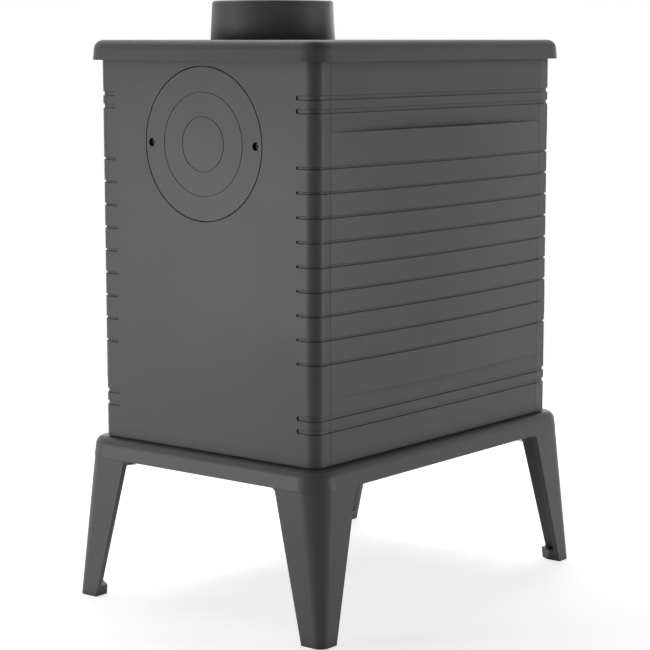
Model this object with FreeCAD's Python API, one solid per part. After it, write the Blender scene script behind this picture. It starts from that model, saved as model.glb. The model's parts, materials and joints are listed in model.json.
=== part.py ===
"""Free-standing cast-iron box stove on four splayed legs, built from its separate castings.

Frame: +Z is up, the floor is Z = 0 and the door faces -Y. Sizes are in millimetres.
Shapes are made about the middle of the body. Saving moves them by FRAME_SHIFT, so that the
origin lies under the middle of the whole stove, its door handle included.
"""
import FreeCAD, Part
import math
import os

V = FreeCAD.Vector
AXIS_X = V(1, 0, 0)
AXIS_Y = V(0, 1, 0)
AXIS_Z = V(0, 0, 1)
ORIGIN = V(0, 0, 0)

# Body: four castings that stand on the base deck and carry the top plate
BODY_WIDTH = 338.6
BODY_DEPTH = 486.7
CORNER_R = 15.0
WALL = 6.0
DECK_TOP = 200.9
PLATE_TOP = 685.5
PLATE_DECK = 7.0
SEAM_GAP = 0.4
REAR_RETURN = 25.4
FRONT_RETURN = 28.4
FRONT_DRAFT = 5.0
BASE_GAP = 1.5
BASE_GAP_DEPTH = 3.0

# Edge of the base frame and of the top plate: round shoulder over a flared skirt
APRON_R = 10.5
APRON_BOTTOM = 177.0
APRON_SHOULDER = 4.9
APRON_FLARE = 8.0
SKIRT_R = 12.0
SKIRT_BOTTOM = 661.5
SKIRT_SHOULDER = -1.4
SKIRT_FLARE = 5.5

# Horizontal grooves: depth, half width at the root, half width at the surface
LINE_GROOVE = (1.6, 1.1, 1.6)
BAND_GROOVE = (1.6, 2.35, 2.7)
LINE_MIDDLE = 432.1
LINE_PITCH = 27.8
LINE_COUNT = 9
BAND_HEIGHTS = (243.0, 258.0, 606.5, 621.5)
GROOVE_TIP_X = 140.0

# Convex field on each side panel
FIELD_RISE = 9.0
FIELD_BOTTOM = 281.0
FIELD_TOP = 582.5

# Legs: offsets are measured outwards from the body's faces
LEG_TOP_OFFSET_X = 17.0
LEG_TOP_OFFSET_Y = 15.6
FOOT_OFFSET_X = 26.2
FOOT_OFFSET_Y = 22.5
LEG_TOP_WIDTH = 67.0
FOOT_WIDTH_X = 31.0
FOOT_WIDTH_Y = 26.6
LEG_TOP_R = 30.6
FOOT_R = 12.0
LEG_WALL = 7.0
LEG_PAD = 7.0
LEG_TAB_OFFSET = 8.8
FOOT_BLOCK = 13.0
FOOT_CUT = (11.2, 7.0)
FOOT_HOLE_R = 4.5
FOOT_HOLE_X = 177.0
FOOT_HOLE_Y = 249.0
WEB_R = 8.0

# Flue outlets
FLUE_Y = 115.75
FLUE_BASE_R = 75.0
FLUE_TOP_R = 72.6
FLUE_BORE_R = 66.0
FLUE_TOP = 731.5
FLUE_FLANGE_R = 92.0
FLUE_BOLT_R = 84.0
COVER_Z = 565.3
COVER_R = 89.4
COVER_GAP = 1.2
COVER_RING_R = (60.6, 32.0)
COVER_SCREW_R = 80.7
COVER_BOSS_R = 8.0
COVER_BOSS = 3.0
SCREW_SINK_R = 4.9
SCREW_SINK = 6.0
REAR_OUTLET_R = 74.0

# Tie rods at the four corners
ROD_R = 4.0
ROD_X = 150.0
ROD_Y = 214.0
ROD_HOLE_R = 4.5

# Front: openings in the frame, the door on its pins, the ash drawer
DOOR_OPENING_X = 126.0
DOOR_OPENING_Z = (302.0, 626.0)
ASH_OPENING_X = 112.0
ASH_OPENING_Z = (212.0, 270.0)
DOOR_X = 140.0
DOOR_Z = (288.0, 640.0)
DOOR_GAP = 0.5
DOOR_DEPTH = 15.5
DOOR_PLATE = 8.5
WINDOW_X = 98.0
WINDOW_Z = (330.0, 582.0)
GLASS_LAP = 10.0
GLASS_THICK = 4.0
HINGE_X = -148.0
HINGE_STANDOFF = 11.5
HINGE_HEIGHTS = (340.0, 575.0)
PIN_R = 4.0
PIN_CLEARANCE = 0.05
KNUCKLE_R = 6.5
LATCH_X = 114.0
LATCH_Z = 456.0
SHAFT_R = 6.0
DRAWER_X = 122.0
DRAWER_Z = (207.0, 275.0)
WHEEL_R = 24.0
WHEEL_NOTCHES = 12
WHEEL_Z = 238.0
PORT_R = 5.0
PORT_CIRCLE_R = 14.5
SLIDER_Z = 650.5
SLOT_PITCH = 36.0

# Hearth inside the body
BED_TOP = 290.0
BED_THICK = 8.0
GRATE_X = (-75.5, 75.5)
GRATE_Y = (-129.5, 149.5)
BRICK_THICK = 22.0
BRICK_X = 134.0
BRICK_REAR_Y = 206.0
BAFFLE_REAR_Z = 469.6
BAFFLE_FRONT_Y = -70.0
BAFFLE_FRONT_Z = 590.0
BAFFLE_THICK = 10.0
PAN_X = 103.0
PAN_LENGTH = 340.0
PAN_SHEET = 2.0
RAIL_TOP = 213.0

# Derived places
HALF_X = BODY_WIDTH / 2
HALF_Y = BODY_DEPTH / 2
BODY_TOP = PLATE_TOP - PLATE_DECK
FRONT = -HALF_Y
FRONT_INNER = FRONT + WALL
DOOR_BACK = FRONT - DOOR_GAP
DOOR_FACE = DOOR_BACK - DOOR_DEPTH
DOOR_PLATE_BACK = DOOR_FACE + DOOR_PLATE
HINGE_Y = FRONT - HINGE_STANDOFF
FRONT_REACH = HALF_Y + 52.5
FRAME_SHIFT = V(0, (FRONT_REACH - HALF_Y - FOOT_OFFSET_Y) / 2, 0)


# ---------------------------------------------------------------- plain solids

def block(x, y, z):
    """Box between the low and high values given for each axis."""
    return Part.makeBox(x[1] - x[0], y[1] - y[0], z[1] - z[0], V(x[0], y[0], z[0]))


def rod(radius, start, end):
    """Cylinder between two points."""
    run = end - start
    return Part.makeCylinder(radius, run.Length, start, run)


def hexagon(across_flats, start, end):
    """Hexagonal prism between two points."""
    radius = across_flats / math.sqrt(3)
    run = end - start
    shape = Part.Face(Part.makePolygon([
        V(radius * math.cos(k * math.pi / 3), radius * math.sin(k * math.pi / 3), 0)
        for k in range(7)
    ])).extrude(V(0, 0, run.Length))
    shape.Placement = FreeCAD.Placement(start, FreeCAD.Rotation(AXIS_Z, run))
    return shape


def polygon(points):
    """Face from a list of corner points."""
    return Part.Face(Part.makePolygon(list(points) + [points[0]]))


def side_profile(points, x):
    """Solid with an outline of (y, z) points, between two values of x."""
    face = polygon([V(x[0], y, z) for y, z in points])
    return face.extrude(V(x[1] - x[0], 0, 0))


def plan_outline(x, y, radius, z):
    """Wire of a rectangle with round corners, level with z."""
    edges = rounded_edges(x, y, radius)
    wire = Part.Wire(edges)
    wire.translate(V(0, 0, z))
    return wire


def rounded_edges(x, y, radius):
    """Edges of a rectangle with round corners in the XY plane, in order."""
    slant = radius * (1 - math.sqrt(0.5))
    corners = ((x[1], y[1], 1, 1), (x[0], y[1], -1, 1), (x[0], y[0], -1, -1), (x[1], y[0], 1, -1))
    stops = []
    for px, py, sx, sy in corners:
        on_side = V(px, py - sy * radius, 0)
        middle = V(px - sx * slant, py - sy * slant, 0)
        on_end = V(px - sx * radius, py, 0)
        stops.append((on_side, middle, on_end) if sx * sy > 0 else (on_end, middle, on_side))
    edges = []
    for k, (start, middle, end) in enumerate(stops):
        edges.append(Part.Arc(start, middle, end).toShape())
        edges.append(Part.LineSegment(end, stops[(k + 1) % 4][0]).toShape())
    return edges


def panel(x, z, y, radius):
    """Upright plate with round corners: an outline in X and Z, thickness along Y."""
    plate = Part.Face(Part.Wire(rounded_edges(x, z, radius))).extrude(V(0, 0, y[1] - y[0]))
    plate.rotate(ORIGIN, AXIS_X, 90)
    plate.translate(V(0, y[1], 0))
    return plate


def mirror_x(shape):
    """The same shape on the other side of the stove."""
    return shape.mirror(ORIGIN, AXIS_X)


def mirror_y(shape):
    """The same shape at the other end of the stove."""
    return shape.mirror(ORIGIN, AXIS_Y)


def both_sides(shapes):
    """A list of shapes together with their mirror images in X."""
    return list(shapes) + [mirror_x(shape) for shape in shapes]


def joined(shapes):
    """One clean solid from shapes that touch or overlap."""
    return shapes[0].fuse(list(shapes[1:])).removeSplitter()


def without(shape, tools):
    """The shape with every tool cut away."""
    return shape.cut(list(tools))


# ---------------------------------------------------------------- base and top

def edge_section(top, bottom, radius, shoulder, flare, deck):
    """Half section of a plate edge: flat top, round shoulder, flared skirt, open underneath.

    It stands in the XZ plane with the axis of the body's corner at X = 0.
    """
    tilt = math.radians(flare)
    centre_x = CORNER_R + shoulder
    centre_z = top - radius
    middle_turn = (math.pi / 2 + tilt) / 2

    def on_arc(angle):
        return V(centre_x + radius * math.cos(angle), 0, centre_z + radius * math.sin(angle))

    tangent = on_arc(tilt)

    def on_skirt(z, inset):
        return V(tangent.x + (tangent.z - z) * math.tan(tilt) - inset, 0, z)

    crest = on_arc(math.pi / 2)
    under_deck = top - deck
    foot = on_skirt(bottom, 0)
    inner_foot = on_skirt(bottom, WALL)
    inner_top = on_skirt(under_deck, WALL)
    edges = [
        Part.LineSegment(V(0, 0, top), crest).toShape(),
        Part.Arc(crest, on_arc(middle_turn), tangent).toShape(),
        Part.LineSegment(tangent, foot).toShape(),
        Part.LineSegment(foot, inner_foot).toShape(),
        Part.LineSegment(inner_foot, inner_top).toShape(),
        Part.LineSegment(inner_top, V(0, 0, under_deck)).toShape(),
        Part.LineSegment(V(0, 0, under_deck), V(0, 0, top)).toShape(),
    ]
    return Part.Face(Part.Wire(edges))


def edged_plate(top, bottom, radius, shoulder, flare, deck):
    """Plate over the whole body with the same edge section all the way round."""
    corner_x = HALF_X - CORNER_R
    corner_y = HALF_Y - CORNER_R
    section = edge_section(top, bottom, radius, shoulder, flare, deck)
    pieces = [block((-corner_x, corner_x), (-corner_y, corner_y), (top - deck, top))]
    starts = (V(corner_x, -corner_y, 0), V(corner_x, corner_y, 0),
              V(-corner_x, corner_y, 0), V(-corner_x, -corner_y, 0))
    for k, start in enumerate(starts):
        end = starts[(k + 1) % 4]
        face = section.copy()
        face.rotate(ORIGIN, AXIS_Z, 90 * k)
        face.translate(start)
        pieces.append(face.extrude(end - start))
        face.translate(end - start)
        pieces.append(face.revolve(end, AXIS_Z, 90))
    return joined(pieces)


def corner_rods(radius, z):
    """Upright cylinders on the four tie rod axes."""
    return [rod(radius, V(x, y, z[0]), V(x, y, z[1]))
            for x in (-ROD_X, ROD_X) for y in (-ROD_Y, ROD_Y)]


def base_frame():
    plate = edged_plate(DECK_TOP, APRON_BOTTOM, APRON_R, APRON_SHOULDER, APRON_FLARE, WALL)
    return without(plate, corner_rods(ROD_HOLE_R, (DECK_TOP - WALL - 1, DECK_TOP + 1)))


def top_plate():
    """Plate with the flue hole, threaded bosses for the tie rods and ribs inside the walls."""
    plate = edged_plate(PLATE_TOP, SKIRT_BOTTOM, SKIRT_R, SKIRT_SHOULDER, SKIRT_FLARE, PLATE_DECK)
    rib_x = HALF_X - WALL - 1
    rib_drop = (BODY_TOP - 4, BODY_TOP + 1)
    ribs = [block((rib_x - 4, rib_x), (-185, 185), rib_drop)]
    boss_drop = (BODY_TOP - 10, BODY_TOP + 1)
    solid = joined([plate] + both_sides(ribs) + corner_rods(9, boss_drop))
    flue_hole = rod(FLUE_BASE_R + 0.5, V(0, FLUE_Y, BODY_TOP - 1), V(0, FLUE_Y, PLATE_TOP + 1))
    threads = corner_rods(ROD_R, (BODY_TOP - 11, PLATE_TOP - 2.5))
    bolt_holes = [rod(3, foot, foot + V(0, 0, 5)) for foot in flue_bolt_places(BODY_TOP)]
    return without(solid, [flue_hole] + threads + bolt_holes)


def leg_plan(z, inset, reach):
    """A leg's plan at one height, as (low x, low y, high x, high y, radius of the outer corner)."""
    def mixed(foot, head):
        return foot + (head - foot) * z / APRON_BOTTOM

    return (HALF_X + mixed(FOOT_OFFSET_X - FOOT_WIDTH_X, LEG_TOP_OFFSET_X - LEG_TOP_WIDTH) - reach,
            HALF_Y + mixed(FOOT_OFFSET_Y - FOOT_WIDTH_Y, LEG_TOP_OFFSET_Y - LEG_TOP_WIDTH) - reach,
            HALF_X + mixed(FOOT_OFFSET_X, LEG_TOP_OFFSET_X) - inset,
            HALF_Y + mixed(FOOT_OFFSET_Y, LEG_TOP_OFFSET_Y) - inset,
            mixed(FOOT_R, LEG_TOP_R) - inset)


def tapered(low, high):
    """Solid between two level outlines with the same number of corners, whose sides are flat."""
    faces = [polygon(low[::-1]), polygon(high)]
    for k, corner in enumerate(low):
        after = (k + 1) % len(low)
        faces.append(polygon([corner, low[after], high[after], high[k]]))
    return Part.makeSolid(Part.makeShell(faces))


def leg_taper(inset, reach):
    """Solid that tapers from the foot to the apron, made smaller or larger for cutting.

    Its outer corner is part of a cone that touches both outer sides. The cone's tip is where
    they meet at the height at which the corner's radius would be nothing.
    """
    foot_r = FOOT_R - inset
    tip_z = -foot_r * APRON_BOTTOM / (LEG_TOP_R - FOOT_R)
    tip = V(*leg_plan(tip_z, inset, reach)[2:4], tip_z)
    side_x = V(APRON_BOTTOM, 0, FOOT_OFFSET_X - LEG_TOP_OFFSET_X).normalize()
    side_y = V(0, APRON_BOTTOM, FOOT_OFFSET_Y - LEG_TOP_OFFSET_Y).normalize()
    ridge = side_x.cross(side_y).normalize()
    inward = -(side_x + side_y).normalize()
    head_x, head_y, head_r = leg_plan(APRON_BOTTOM, inset, reach)[2:]
    lean = (V(head_x - head_r, head_y - head_r, APRON_BOTTOM) - tip).getAngle(ridge)
    axis = ridge * math.cos(lean) + inward * math.sin(lean)
    half_angle = -axis.dot(side_x)
    touch_x = axis + side_x * half_angle
    touch_y = axis + side_y * half_angle

    def at_height(direction, z):
        return tip + direction * ((z - tip.z) / direction.z)

    def outline(z):
        low_x, low_y, high_x, high_y, _ = leg_plan(z, inset, reach)
        return [V(low_x, low_y, z), V(high_x, low_y, z), at_height(touch_x, z),
                at_height(axis, z), at_height(touch_y, z), V(low_x, high_y, z)]

    length = 2 * APRON_BOTTOM
    slice_x = polygon([tip, tip + touch_x * (length / touch_x.dot(axis)), tip + axis * length])
    turn = math.degrees((touch_x - axis * touch_x.dot(axis)).getAngle(
        touch_y - axis * touch_y.dot(axis)))
    slab = block((0, 400), (0, 400), (0, APRON_BOTTOM))
    corner = slice_x.revolve(tip, axis, turn).common(slab)
    return joined([tapered(outline(0), outline(APRON_BOTTOM)), corner])


def leg_web(head_x, foot_x, out_y):
    """Web with a hollow round edge, where the inner edge of a flange meets the apron."""
    lean = math.atan2(foot_x - head_x, APRON_BOTTOM)
    turn = math.pi / 2 - lean
    start = V(head_x - WEB_R * math.tan(turn / 2), 0, APRON_BOTTOM)
    centre = start - V(0, 0, WEB_R)
    middle, end = [centre + V(WEB_R * math.sin(angle), 0, WEB_R * math.cos(angle))
                   for angle in (turn / 2, turn)]
    low, high = end + V(3, 0, 0), V(end.x + 3, 0, APRON_BOTTOM)
    wire = Part.Wire([Part.Arc(start, middle, end).toShape(), Part.LineSegment(end, low).toShape(),
                      Part.LineSegment(low, high).toShape(), Part.LineSegment(high, start).toShape()])
    return Part.Face(wire).extrude(V(0, LEG_WALL, 0)).translated(V(0, out_y - LEG_WALL, 0))


def leg():
    """Rear leg on the +X side: an L-section casting with a pad at the top.

    The block in its foot has the inner corner cut off and a hole for a floor bolt.
    """
    hollow = leg_taper(LEG_WALL, 60)
    room = block((0, 300), (0, 400), (FOOT_BLOCK, APRON_BOTTOM - LEG_PAD))
    body = leg_taper(0, 0).cut(hollow.common(room))
    foot_x, foot_y = leg_plan(0, 0, 0)[:2]
    head_x, head_y, out_x, out_y, _ = leg_plan(APRON_BOTTOM, 0, 0)
    webs = [leg_web(head_x, foot_x, out_y),
            leg_web(head_y, foot_y, out_x).mirror(ORIGIN, V(1, -1, 0))]
    tab_x = HALF_X + LEG_TAB_OFFSET
    tab_y = HALF_Y + LEG_TAB_OFFSET
    tab_z = (APRON_BOTTOM - 1, APRON_BOTTOM + 12)
    tabs = [block((head_x + 4, HALF_X - 16), (tab_y - 5, tab_y), tab_z),
            block((tab_x - 5, tab_x), (head_y + 4, HALF_Y - 16), tab_z)]
    body = joined([body] + webs + tabs)
    cut_x, cut_y = FOOT_CUT
    past = 5.0
    inner_corner = polygon([V(foot_x - past, foot_y - past, -1),
                            V(foot_x + cut_x + past * cut_x / cut_y, foot_y - past, -1),
                            V(foot_x - past, foot_y + cut_y + past * cut_y / cut_x, -1)])
    corner_cut = inner_corner.extrude(V(0, 0, FOOT_BLOCK + 2))
    hole = rod(FOOT_HOLE_R, V(FOOT_HOLE_X, FOOT_HOLE_Y, -1), V(FOOT_HOLE_X, FOOT_HOLE_Y, FOOT_BLOCK + 1))
    rod_hole = rod(ROD_HOLE_R, V(ROD_X, ROD_Y, APRON_BOTTOM - LEG_PAD - 1),
                   V(ROD_X, ROD_Y, APRON_BOTTOM + 1))
    return without(body, [corner_cut, hole, rod_hole])


# ---------------------------------------------------------------- body castings

def groove_polygon(groove, radius, z):
    """Section of a groove cutter in the XZ plane, at a surface that stands at X = radius."""
    depth, root, surface = groove
    mouth = surface + (surface - root) / depth
    return polygon([V(radius - depth, 0, z + root), V(radius + 1, 0, z + mouth),
                    V(radius + 1, 0, z - mouth), V(radius - depth, 0, z - root)])


def groove_end(groove, z):
    """Last stretch of a groove along X, on a face that looks to +Y from Y = CORNER_R.

    Its floor and its mouth are outlines whose far corners are cut off. The corner's axis is at
    X = 0 here, and the groove ends at GROOVE_TIP_X on the body.
    """
    depth, root, surface = groove
    mouth = surface + (surface - root) / depth

    def outline(half, y):
        tip_x = GROOVE_TIP_X - (HALF_X - CORNER_R) + surface - half
        return [V(0, y, z - half), V(tip_x + half * 0.6, y, z - half), V(tip_x, y, z - half * 0.4),
                V(tip_x, y, z + half * 0.4), V(tip_x + half * 0.6, y, z + half), V(0, y, z + half)]

    return tapered(outline(root, CORNER_R - depth), outline(mouth, CORNER_R + 1))


def corner_groove(groove, z, seam):
    """Cutter from a side seam round the corner of the body and a little way along its end."""
    side = groove_polygon(groove, CORNER_R, z)
    turn = side.revolve(ORIGIN, AXIS_Z, 90)
    run = side.extrude(V(0, CORNER_R - seam - 2, 0))
    cutter = [turn, run, groove_end(groove, z)]
    for piece in cutter:
        piece.translate(V(HALF_X - CORNER_R, HALF_Y - CORNER_R, 0))
    return cutter


def all_grooves():
    """Every groove of the body as (kind, height)."""
    first = LINE_MIDDLE - LINE_PITCH * (LINE_COUNT - 1) / 2
    lines = [(LINE_GROOVE, first + LINE_PITCH * k) for k in range(LINE_COUNT)]
    return lines + [(BAND_GROOVE, z) for z in BAND_HEIGHTS]


def end_casting(seam):
    """Rear wall with both of its round corners, up to the side panels at the seam.

    A rebate along its foot leaves a narrow gap over the deck.
    """
    low_y = HALF_Y - seam
    outer = plan_outline((-HALF_X, HALF_X), (-HALF_Y, HALF_Y), CORNER_R, DECK_TOP)
    inner = plan_outline((WALL - HALF_X, HALF_X - WALL), (WALL - HALF_Y, HALF_Y - WALL),
                         CORNER_R - WALL, DECK_TOP)
    rise = V(0, 0, BODY_TOP - DECK_TOP)
    tube = Part.Face(outer).extrude(rise).cut(Part.Face(inner).extrude(rise))
    wall = tube.common(block((-HALF_X, HALF_X), (low_y, HALF_Y), (DECK_TOP, BODY_TOP)))
    lip_x = HALF_X - WALL
    lip = block((lip_x - 4, lip_x), (low_y - 8, low_y), (DECK_TOP, BODY_TOP))
    root = block((lip_x - 4, lip_x + 1), (low_y, low_y + 6), (DECK_TOP, BODY_TOP))
    casting = joined([wall] + both_sides([lip, root]))
    inset = plan_outline((BASE_GAP_DEPTH - HALF_X, HALF_X - BASE_GAP_DEPTH),
                         (BASE_GAP_DEPTH - HALF_Y, HALF_Y - BASE_GAP_DEPTH),
                         CORNER_R - BASE_GAP_DEPTH, DECK_TOP)
    gap = V(0, 0, BASE_GAP)
    cutters = [Part.Face(outer).extrude(gap).cut(Part.Face(inset).extrude(gap))]
    for groove, z in all_grooves():
        cutters += both_sides(corner_groove(groove, z, seam))
    return without(casting, cutters)


def cover_axis(x, back, face):
    """Cylinder ends on a line along Y through the cover's height, measured in from the rear face."""
    return V(x, HALF_Y - back, COVER_Z), V(x, HALF_Y - face, COVER_Z)


def back_plate():
    """Rear casting with the outlet, the ring that stiffens it and the seat of its cover."""
    ring_back = WALL + 7.5
    recess = WALL + COVER_BOSS + 0.3
    ring = rod(COVER_R + 9, *cover_axis(0, ring_back, WALL - 1))
    casting = joined([end_casting(REAR_RETURN), ring])
    seat = rod(COVER_R + COVER_GAP, *cover_axis(0, WALL, -1))
    outlet = rod(REAR_OUTLET_R, *cover_axis(0, ring_back + 1, -1))
    holes = []
    for x in (-COVER_SCREW_R, COVER_SCREW_R):
        holes.append(rod(COVER_BOSS_R + 0.5, *cover_axis(x, recess, WALL - 1)))
        holes.append(rod(2.5, *cover_axis(x, ring_back + 1, WALL)))
    return without(casting, [seat, outlet] + holes)


def flue_cover():
    """Round blanking plate with two fine turned lines. Its screws sink into bosses behind it."""
    cutters = []
    for radius in COVER_RING_R:
        cutters.append(rod(radius + 0.4, *cover_axis(0, 0.7, -1)).cut(
            rod(radius - 0.4, *cover_axis(0, 1, -2))))
    bosses = []
    for x in (-COVER_SCREW_R, COVER_SCREW_R):
        bosses.append(rod(COVER_BOSS_R, *cover_axis(x, WALL + COVER_BOSS, WALL - 1)))
        cutters.append(rod(SCREW_SINK_R, *cover_axis(x, SCREW_SINK, -1)))
        cutters.append(rod(2.5, *cover_axis(x, WALL + COVER_BOSS + 1, SCREW_SINK - 1)))
    return without(joined([rod(COVER_R, *cover_axis(0, WALL, 0))] + bosses), cutters)


def cover_screws():
    """Two socket screws that hold the blanking plate."""
    head_top = SCREW_SINK - 2
    screws = []
    for x in (-COVER_SCREW_R, COVER_SCREW_R):
        head = rod(4.4, *cover_axis(x, SCREW_SINK, head_top))
        shank = rod(2.5, *cover_axis(x, WALL + 7, SCREW_SINK))
        socket = hexagon(3.0, *cover_axis(x, head_top + 1.2, head_top - 1))
        screws.append(joined([head, shank]).cut(socket))
    return Part.makeCompound(screws)


def side_panel():
    """Right side: a flat plate with a convex field, grooves and a ledge for the fire bed."""
    y0 = FRONT_RETURN - HALF_Y + SEAM_GAP
    y1 = HALF_Y - REAR_RETURN - SEAM_GAP
    middle = (y0 + y1) / 2
    half_chord = (y1 - y0) / 2
    radius = (half_chord ** 2 + FIELD_RISE ** 2) / (2 * FIELD_RISE)
    centre = V(HALF_X + FIELD_RISE - radius, middle, 0)
    wall = block((HALF_X - WALL, HALF_X), (y0, y1), (DECK_TOP, BODY_TOP))
    field = curved_field(HALF_X, (y0, y1), FIELD_RISE, (FIELD_BOTTOM, FIELD_TOP))
    pocket = curved_field(HALF_X - WALL, (y0 + 20, y1 - 20), FIELD_RISE - 1,
                          (FIELD_BOTTOM + WALL, FIELD_TOP - WALL))
    ledge = block((HALF_X - WALL - 10, HALF_X - WALL + 1), (-195, 195),
                  (BED_TOP - BED_THICK - WALL, BED_TOP - BED_THICK))
    panel_solid = joined([wall, field]).cut(pocket)
    panel_solid = joined([panel_solid, ledge])
    gap = block((HALF_X - BASE_GAP_DEPTH, HALF_X + 1), (y0 - 1, y1 + 1),
                (DECK_TOP - 1, DECK_TOP + BASE_GAP))
    sweep = 2 * math.degrees(math.asin(half_chord / radius)) + 1
    cutters = [gap]
    for groove, z in all_grooves():
        if groove is LINE_GROOVE:
            section = groove_polygon(groove, radius, z)
            section.rotate(ORIGIN, AXIS_Z, -sweep / 2)
            section.translate(centre)
            cutters.append(section.revolve(centre, AXIS_Z, sweep))
        else:
            section = groove_polygon(groove, HALF_X, z)
            section.translate(V(0, y0 - 5, 0))
            cutters.append(section.extrude(V(0, y1 - y0 + 10, 0)))
    return without(panel_solid, cutters)


def curved_field(x, y, rise, z):
    """Solid between a flat chord at x and the arc that stands rise outside it."""
    ends = (V(x, y[0], z[0]), V(x, y[1], z[0]))
    crown = V(x + rise, (y[0] + y[1]) / 2, z[0])
    wire = Part.Wire([Part.LineSegment(ends[1], ends[0]).toShape(),
                      Part.Arc(ends[0], crown, ends[1]).toShape()])
    return Part.Face(wire).extrude(V(0, 0, z[1] - z[0]))


def front_wedge():
    """Cutter that turns the right side return of the front casting inwards from its seam."""
    seam_y = FRONT_RETURN - HALF_Y
    past_y = -HALF_Y - 1
    turned_x = HALF_X - (seam_y - past_y) * math.tan(math.radians(FRONT_DRAFT))
    foot = DECK_TOP - 1
    wedge = polygon([V(HALF_X, seam_y, foot), V(HALF_X + 1, seam_y, foot),
                     V(HALF_X + 1, past_y, foot), V(turned_x, past_y, foot)])
    return wedge.extrude(V(0, 0, BODY_TOP + 1 - foot))


def front_frame():
    """Front casting: corners, door and ash openings, air slots and the hinge lugs."""
    casting = mirror_y(end_casting(FRONT_RETURN))
    through = (FRONT - 2, FRONT_INNER + 2)
    openings = [panel((-DOOR_OPENING_X, DOOR_OPENING_X), DOOR_OPENING_Z, through, 8),
                panel((-ASH_OPENING_X, ASH_OPENING_X), ASH_OPENING_Z, through, 5)]
    slots = [block((x - 9, x + 9), through, (SLIDER_Z - 2.5, SLIDER_Z + 2.5))
             for x in slider_slots()]
    casting = without(casting, openings + slots + both_sides([front_wedge()]))
    lugs = []
    for z in HINGE_HEIGHTS:
        arm = block((HINGE_X - KNUCKLE_R, HINGE_X + KNUCKLE_R), (HINGE_Y, FRONT + 1), (z - 12, z))
        lugs += [arm, rod(KNUCKLE_R, V(HINGE_X, HINGE_Y, z - 12), V(HINGE_X, HINGE_Y, z))]
    casting = joined([casting] + lugs)
    bores = [rod(PIN_R, V(HINGE_X, HINGE_Y, z - 13), V(HINGE_X, HINGE_Y, z + 1))
             for z in HINGE_HEIGHTS]
    return without(casting, bores)


def hinge_pins():
    """Two headed pins, pressed into the lugs, on which the door hangs."""
    pins = []
    for z in HINGE_HEIGHTS:
        shank = rod(PIN_R, V(HINGE_X, HINGE_Y, z - 12), V(HINGE_X, HINGE_Y, z + 20))
        head = rod(PIN_R + 1.5, V(HINGE_X, HINGE_Y, z - 15), V(HINGE_X, HINGE_Y, z - 12))
        pins.append(joined([shank, head]))
    return Part.makeCompound(pins)


# ---------------------------------------------------------------- flue and tie rods

def flue_bolt_places(z):
    """Feet of the four bolts of the flue collar."""
    places = []
    for k in range(4):
        angle = math.radians(45 + 90 * k)
        places.append(V(FLUE_BOLT_R * math.cos(angle), FLUE_Y + FLUE_BOLT_R * math.sin(angle), z))
    return places


def flue_collar():
    """Tapered spigot that takes a flue pipe over it, on a flange bolted under the top plate."""
    flange = rod(FLUE_FLANGE_R, V(0, FLUE_Y, BODY_TOP - WALL), V(0, FLUE_Y, BODY_TOP))
    neck = rod(FLUE_BASE_R, V(0, FLUE_Y, BODY_TOP - WALL), V(0, FLUE_Y, PLATE_TOP))
    rim = 2.0
    taper = Part.makeCone(FLUE_BASE_R, FLUE_TOP_R, FLUE_TOP - rim - PLATE_TOP,
                          V(0, FLUE_Y, PLATE_TOP))
    lip = Part.makeCone(FLUE_TOP_R, FLUE_TOP_R - rim, rim, V(0, FLUE_Y, FLUE_TOP - rim))
    bore = rod(FLUE_BORE_R, V(0, FLUE_Y, BODY_TOP - WALL - 1), V(0, FLUE_Y, FLUE_TOP + 1))
    holes = [rod(3, foot, foot + V(0, 0, WALL + 2))
             for foot in flue_bolt_places(BODY_TOP - WALL - 1)]
    return without(joined([flange, neck, taper, lip]), [bore] + holes)


def flue_bolts():
    """Four hexagon bolts up through the collar's flange."""
    bolts = []
    for seat in flue_bolt_places(BODY_TOP - WALL):
        head = hexagon(10, seat - V(0, 0, 4), seat)
        bolts.append(joined([head, rod(3, seat, seat + V(0, 0, WALL + 4.5))]))
    return Part.makeCompound(bolts)


def tie_rods():
    """Four studs that clamp the legs, base, walls and top plate together."""
    return Part.makeCompound(corner_rods(ROD_R, (APRON_BOTTOM - LEG_PAD - 9, PLATE_TOP - 3)))


def tie_rod_washers():
    """Four square plate washers under the pads of the legs."""
    seat = APRON_BOTTOM - LEG_PAD
    washers = []
    for bore in corner_rods(ROD_R, (seat - 2, seat + 1)):
        x, y = bore.BoundBox.Center.x, bore.BoundBox.Center.y
        washers.append(block((x - 8, x + 8), (y - 8, y + 8), (seat - 1.6, seat)).cut(bore))
    return Part.makeCompound(washers)


def tie_rod_nuts():
    top = APRON_BOTTOM - LEG_PAD - 1.6
    nuts = []
    for x in (-ROD_X, ROD_X):
        for y in (-ROD_Y, ROD_Y):
            nut = hexagon(13, V(x, y, top - 6.5), V(x, y, top))
            nuts.append(nut.cut(rod(ROD_R, V(x, y, top - 7), V(x, y, top + 1))))
    return Part.makeCompound(nuts)


# ---------------------------------------------------------------- hearth

def slope_z(y):
    """Height of the line that the baffle lies on, over a place along the stove."""
    rate = (BAFFLE_FRONT_Z - BAFFLE_REAR_Z) / (BRICK_REAR_Y - BAFFLE_FRONT_Y)
    return BAFFLE_REAR_Z + (BRICK_REAR_Y - y) * rate


def side_brick():
    """Right side brick, with the slope that carries the baffle."""
    front_y = -190.0
    outline = [(front_y, BED_TOP), (BRICK_REAR_Y - 1, BED_TOP),
               (BRICK_REAR_Y - 1, slope_z(BRICK_REAR_Y - 1)),
               (BAFFLE_FRONT_Y, BAFFLE_FRONT_Z), (front_y, BAFFLE_FRONT_Z)]
    return side_profile(outline, (BRICK_X, BRICK_X + BRICK_THICK))


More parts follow.
